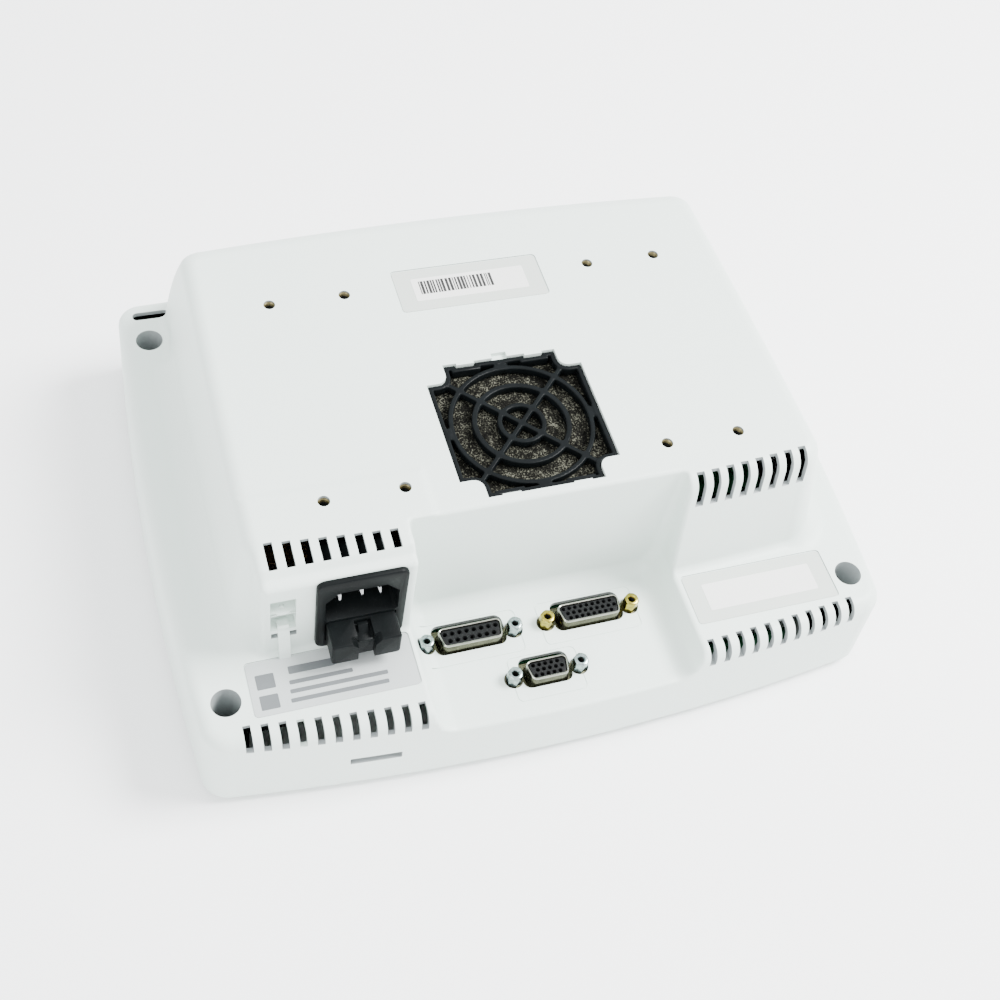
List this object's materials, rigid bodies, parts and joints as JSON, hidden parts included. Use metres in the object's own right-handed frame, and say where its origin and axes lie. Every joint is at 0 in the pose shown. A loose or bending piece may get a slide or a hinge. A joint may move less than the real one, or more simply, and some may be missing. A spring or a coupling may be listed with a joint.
{
  "type": "patient monitor",
  "caption": "Flat-panel patient monitor with a raised rear hump, fan filter, mains inlet with fuse drawer, recessed data connectors and threaded mounting inserts.",
  "frame": {"origin": "middle of the front face that the unit lies on", "axes": "+X across the unit, +Y towards its top edge, +Z out of its back"},
  "size_m": [0.2672, 0.2124, 0.086],
  "materials": {
    "housing_plastic": "fine matt texture",
    "black_plastic": "semi-gloss",
    "connector_plastic": "matt",
    "chromated_shell": "yellow chromate",
    "zinc": "bright zinc",
    "gold_zinc": "yellow zinc",
    "brass": "turned",
    "sheet_steel": "rolled",
    "contact_metal": "plated",
    "foam": "open-cell foam",
    "gasket": "matt",
    "window": "clear",
    "display": "satin",
    "board": "solder mask",
    "power_board": "paper laminate",
    "cable": "vinyl",
    "paper_label": "printed film",
    "film_label": "translucent film",
    "key_plastic": "matt",
    "light_guide": "clear green"
  },
  "bodies": {
    "housing": {"rear_cover": "housing_plastic", "front_bezel": "housing_plastic", "window_gasket": "gasket", "screen_window": "window", "lcd_panel": "display", "chassis_plate": "sheet_steel", "chassis_screws": "zinc", "board_standoffs": "brass", "main_board": "board", "connector_board": "board", "power_supply": "power_board", "power_shield": "sheet_steel", "backlight_inverter": "board", "display_cable": "cable", "mains_wires": "cable", "fan_frame": "black_plastic", "fan_screws": "zinc", "inner_inserts": "brass", "outer_inserts": "brass", "dsub15_shell": "chromated_shell", "dsub15_insulator": "connector_plastic", "dsub26_shell": "chromated_shell", "dsub26_insulator": "connector_plastic", "vga_shell": "chromated_shell", "vga_insulator": "connector_plastic", "zinc_jackscrews": "zinc", "gold_jackscrews": "gold_zinc", "mains_inlet": "black_plastic", "inlet_pins": "contact_metal", "corner_screws": "zinc", "barcode_label": "paper_label", "serial_label": "paper_label", "rating_label": "film_label", "key_board": "board", "status_light": "light_guide"},
    "fan": {"fan_rotor": "black_plastic"},
    "filter": {"filter_cover": "black_plastic", "filter_foam": "foam"},
    "fuse_tray": {"fuse_drawer": "black_plastic", "fuses": "contact_metal"},
    "standby": {"standby_key": "key_plastic"},
    "dimmer": {"dimmer_key": "key_plastic"},
    "brighter": {"brighter_key": "key_plastic"}
  },
  "joints": [
    {"name": "fan_spin", "type": "hinge", "parent": "housing", "child": "fan", "pos_m": [0, -0.0174, 0.066], "axis": [0, 0, 1], "continuous": true},
    {"name": "filter_pull", "type": "slide", "parent": "housing", "child": "filter", "axis": [0, 0, 1], "range_m": [0, 0.03]},
    {"name": "fuse_drawer_pull", "type": "slide", "parent": "housing", "child": "fuse_tray", "axis": [0, -1, 0], "range_m": [0, 0.025]},
    {"name": "standby_press", "type": "slide", "parent": "housing", "child": "standby", "axis": [0, 0, 1], "range_m": [0, 0.0008], "stiffness_N_per_m": 400, "springref_m": -0.0003},
    {"name": "dimmer_press", "type": "slide", "parent": "housing", "child": "dimmer", "axis": [0, 0, 1], "range_m": [0, 0.0008], "stiffness_N_per_m": 400, "springref_m": -0.0003},
    {"name": "brighter_press", "type": "slide", "parent": "housing", "child": "brighter", "axis": [0, 0, 1], "range_m": [0, 0.0008], "stiffness_N_per_m": 400, "springref_m": -0.0003}
  ]
}
